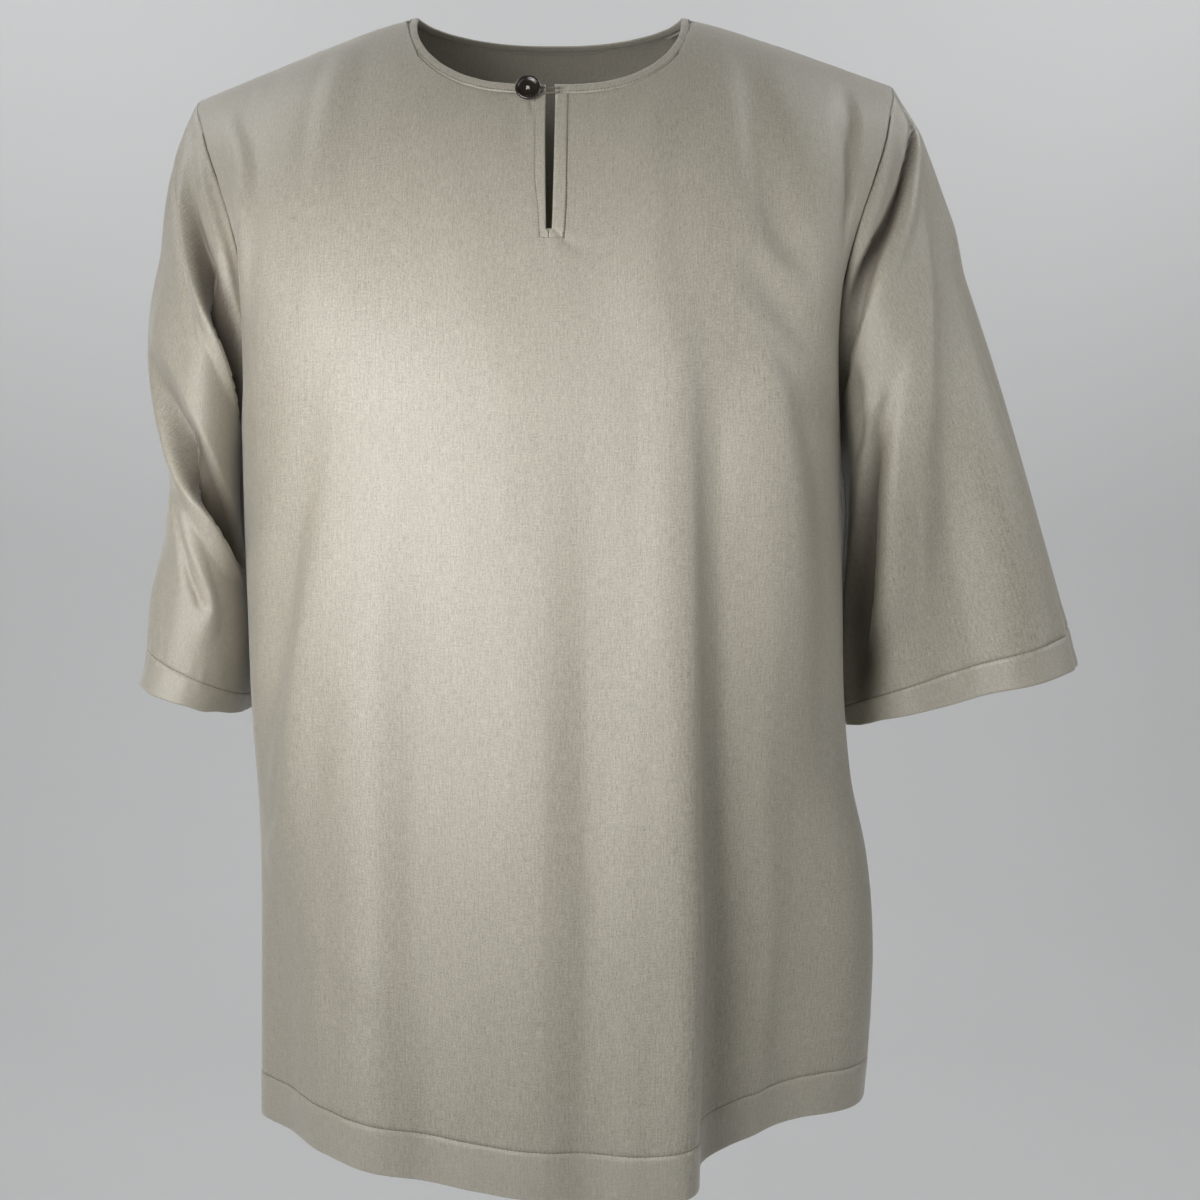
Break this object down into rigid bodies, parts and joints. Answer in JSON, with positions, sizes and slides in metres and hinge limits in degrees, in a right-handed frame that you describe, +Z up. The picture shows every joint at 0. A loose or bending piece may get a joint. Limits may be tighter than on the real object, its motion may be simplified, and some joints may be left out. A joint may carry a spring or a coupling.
{
  "type": "tunic top",
  "caption": "Hollow collarless tunic top with wide elbow-length sleeves, a bound round neck, a front slit closed by a button and thread loop, and side vents, in its worn form.",
  "frame": {"origin": "the middle of the shoulder line, halfway between the two side-neck points, where the wearer's shoulders hold the garment", "axes": "+Z up along the body, -Y out of the front, +X to the wearer's left (the viewer's right)"},
  "size_m": [0.6147, 0.2739, 0.7381],
  "materials": {
    "suiting": "fine plain-woven suiting in grey-beige with a soft low sheen and faint lengthwise slubs",
    "button": "polished dark brown, dished face",
    "thread": "twisted sewing thread"
  },
  "bodies": {
    "root": {"front_panel": "suiting", "back_panel": "suiting", "sleeve_right": "suiting", "sleeve_left": "suiting", "neck_binding": "suiting", "slit_facing": "suiting", "button": "button", "button_loop": "thread"}
  },
  "joints": []
}
